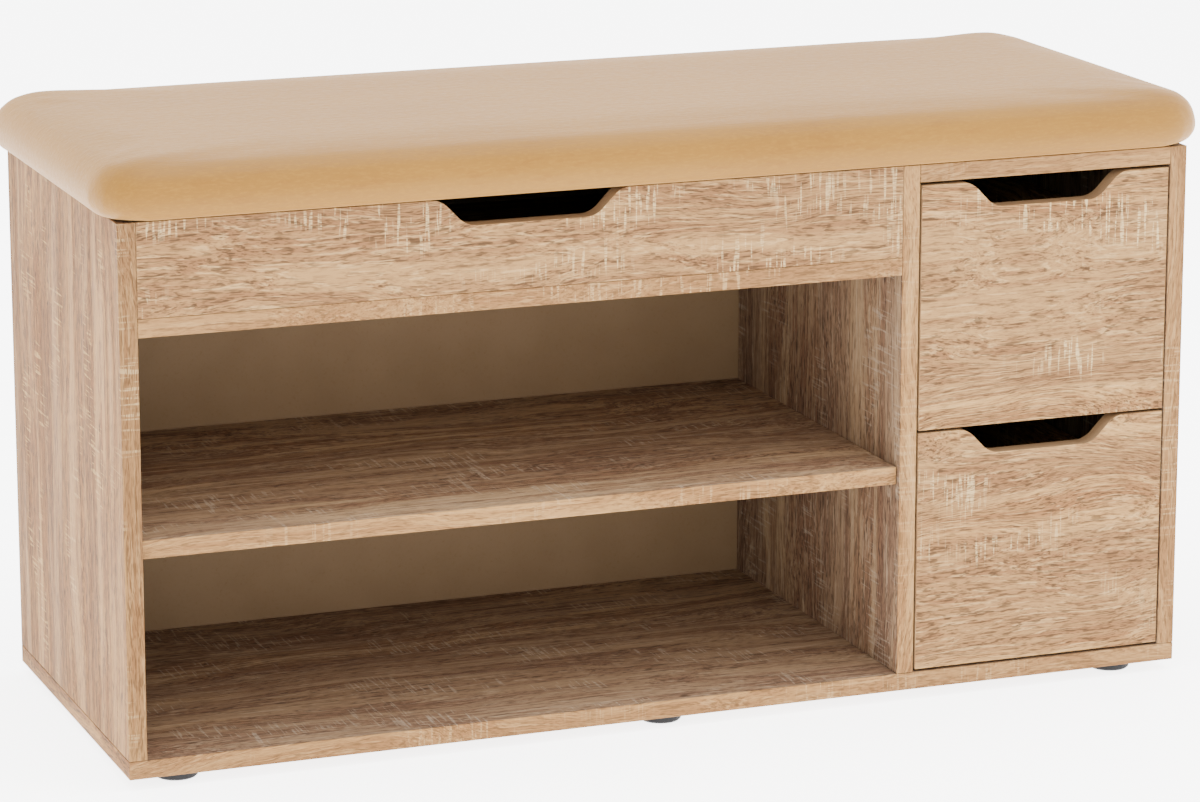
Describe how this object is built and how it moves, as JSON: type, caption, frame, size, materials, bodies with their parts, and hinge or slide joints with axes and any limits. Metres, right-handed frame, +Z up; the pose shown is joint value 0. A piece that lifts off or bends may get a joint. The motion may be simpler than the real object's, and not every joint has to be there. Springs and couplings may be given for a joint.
{
  "type": "entryway bench",
  "caption": "Entryway shoe bench with a padded flip-up seat over a storage compartment, an open shelf bay and a drawer stack with finger cut-outs.",
  "frame": {"origin": "on the floor under the middle of the bench's footprint, which is the padded lid's outline", "axes": "+X to the right seen from the front, +Y to the back, +Z up; the front faces -Y"},
  "size_m": [1.036, 0.416, 0.5439],
  "materials": {
    "oak_laminate": "oak-decor melamine laminate, satin, slightly textured",
    "chipboard": "raw chipboard",
    "hardboard": "thin fibreboard, matt beige-brown",
    "foam": "polyurethane foam, open cell",
    "upholstery": "sand-coloured artificial leather, fine grain, satin",
    "dust_cloth": "non-woven cloth, matt",
    "black_plastic": "moulded, satin",
    "nylon": "moulded, satin",
    "zinc_steel": "zinc-plated",
    "white_enamel": "white epoxy-coated steel"
  },
  "bodies": {
    "carcass": {"bottom_board": "oak_laminate", "side_left": "oak_laminate", "side_right": "oak_laminate", "partition": "oak_laminate", "compartment_floor": "oak_laminate", "front_fascia": "oak_laminate", "shelf": "oak_laminate", "drawer_bay_top": "oak_laminate", "hinge_rail_left": "oak_laminate", "hinge_rail_right": "oak_laminate", "back_panel": "hardboard", "foot_front_left": "black_plastic", "foot_front_middle": "black_plastic", "foot_front_right": "black_plastic", "foot_rear_left": "black_plastic", "foot_rear_middle": "black_plastic", "foot_rear_right": "black_plastic", "shelf_pin_left_front": "zinc_steel", "shelf_pin_left_rear": "zinc_steel", "shelf_pin_right_front": "zinc_steel", "shelf_pin_right_rear": "zinc_steel", "hinge_left_carcass_leaf": "zinc_steel", "hinge_left_pin": "zinc_steel", "hinge_middle_carcass_leaf": "zinc_steel", "hinge_middle_pin": "zinc_steel", "hinge_right_carcass_leaf": "zinc_steel", "hinge_right_pin": "zinc_steel", "runner_upper_left_cabinet": "white_enamel", "runner_upper_right_cabinet": "white_enamel", "runner_lower_left_cabinet": "white_enamel", "runner_lower_right_cabinet": "white_enamel"},
    "lid": {"lid_board": "chipboard", "foam_pad": "foam", "cushion_cover": "upholstery", "dust_cloth": "dust_cloth", "hinge_left_lid_leaf": "zinc_steel", "hinge_middle_lid_leaf": "zinc_steel", "hinge_right_lid_leaf": "zinc_steel"},
    "drawer_upper": {"drawer_upper_front": "oak_laminate", "drawer_upper_side_left": "oak_laminate", "drawer_upper_side_right": "oak_laminate", "drawer_upper_back": "oak_laminate", "drawer_upper_bottom": "hardboard", "runner_upper_left_drawer": "white_enamel", "runner_upper_right_drawer": "white_enamel"},
    "drawer_lower": {"drawer_lower_front": "oak_laminate", "drawer_lower_side_left": "oak_laminate", "drawer_lower_side_right": "oak_laminate", "drawer_lower_back": "oak_laminate", "drawer_lower_bottom": "hardboard", "runner_lower_left_drawer": "white_enamel", "runner_lower_right_drawer": "white_enamel"},
    "roller_upper_left_front": {"roller_upper_left_front": "nylon"},
    "roller_upper_left_rear": {"roller_upper_left_rear": "nylon"},
    "roller_upper_right_front": {"roller_upper_right_front": "nylon"},
    "roller_upper_right_rear": {"roller_upper_right_rear": "nylon"},
    "roller_lower_left_front": {"roller_lower_left_front": "nylon"},
    "roller_lower_left_rear": {"roller_lower_left_rear": "nylon"},
    "roller_lower_right_front": {"roller_lower_right_front": "nylon"},
    "roller_lower_right_rear": {"roller_lower_right_rear": "nylon"}
  },
  "joints": [
    {"name": "lid_swing", "type": "hinge", "parent": "carcass", "child": "lid", "pos_m": [0, 0.1933, 0.4938], "axis": [-1, 0, 0], "range_deg": [0, 95]},
    {"name": "drawer_upper_slide", "type": "slide", "parent": "carcass", "child": "drawer_upper", "axis": [0, -1, 0], "range_m": [0, 0.26]},
    {"name": "drawer_lower_slide", "type": "slide", "parent": "carcass", "child": "drawer_lower", "axis": [0, -1, 0], "range_m": [0, 0.26]},
    {"name": "roller_upper_left_front_turn", "type": "hinge", "parent": "carcass", "child": "roller_upper_left_front", "pos_m": [0.23985, -0.162, 0.27665], "axis": [1, 0, 0], "range_deg": [0, 1870]},
    {"name": "roller_upper_left_rear_turn", "type": "hinge", "parent": "drawer_upper", "child": "roller_upper_left_rear", "pos_m": [0.24165, 0.166, 0.27405], "axis": [1, 0, 0], "range_deg": [0, 1870]},
    {"name": "roller_upper_right_front_turn", "type": "hinge", "parent": "carcass", "child": "roller_upper_right_front", "pos_m": [0.47865, -0.162, 0.27665], "axis": [1, 0, 0], "range_deg": [0, 1870]},
    {"name": "roller_upper_right_rear_turn", "type": "hinge", "parent": "drawer_upper", "child": "roller_upper_right_rear", "pos_m": [0.47685, 0.166, 0.27405], "axis": [1, 0, 0], "range_deg": [0, 1870]},
    {"name": "roller_lower_left_front_turn", "type": "hinge", "parent": "carcass", "child": "roller_lower_left_front", "pos_m": [0.23985, -0.162, 0.0534], "axis": [1, 0, 0], "range_deg": [0, 1870]},
    {"name": "roller_lower_left_rear_turn", "type": "hinge", "parent": "drawer_lower", "child": "roller_lower_left_rear", "pos_m": [0.24165, 0.166, 0.0508], "axis": [1, 0, 0], "range_deg": [0, 1870]},
    {"name": "roller_lower_right_front_turn", "type": "hinge", "parent": "carcass", "child": "roller_lower_right_front", "pos_m": [0.47865, -0.162, 0.0534], "axis": [1, 0, 0], "range_deg": [0, 1870]},
    {"name": "roller_lower_right_rear_turn", "type": "hinge", "parent": "drawer_lower", "child": "roller_lower_right_rear", "pos_m": [0.47685, 0.166, 0.0508], "axis": [1, 0, 0], "range_deg": [0, 1870]}
  ],
  "couplings": [
    {"joint": "roller_upper_left_front_turn", "follows": "drawer_upper_slide", "rad_per_m": 125},
    {"joint": "roller_upper_left_rear_turn", "follows": "drawer_upper_slide", "rad_per_m": 125},
    {"joint": "roller_upper_right_front_turn", "follows": "drawer_upper_slide", "rad_per_m": 125},
    {"joint": "roller_upper_right_rear_turn", "follows": "drawer_upper_slide", "rad_per_m": 125},
    {"joint": "roller_lower_left_front_turn", "follows": "drawer_lower_slide", "rad_per_m": 125},
    {"joint": "roller_lower_left_rear_turn", "follows": "drawer_lower_slide", "rad_per_m": 125},
    {"joint": "roller_lower_right_front_turn", "follows": "drawer_lower_slide", "rad_per_m": 125},
    {"joint": "roller_lower_right_rear_turn", "follows": "drawer_lower_slide", "rad_per_m": 125}
  ]
}
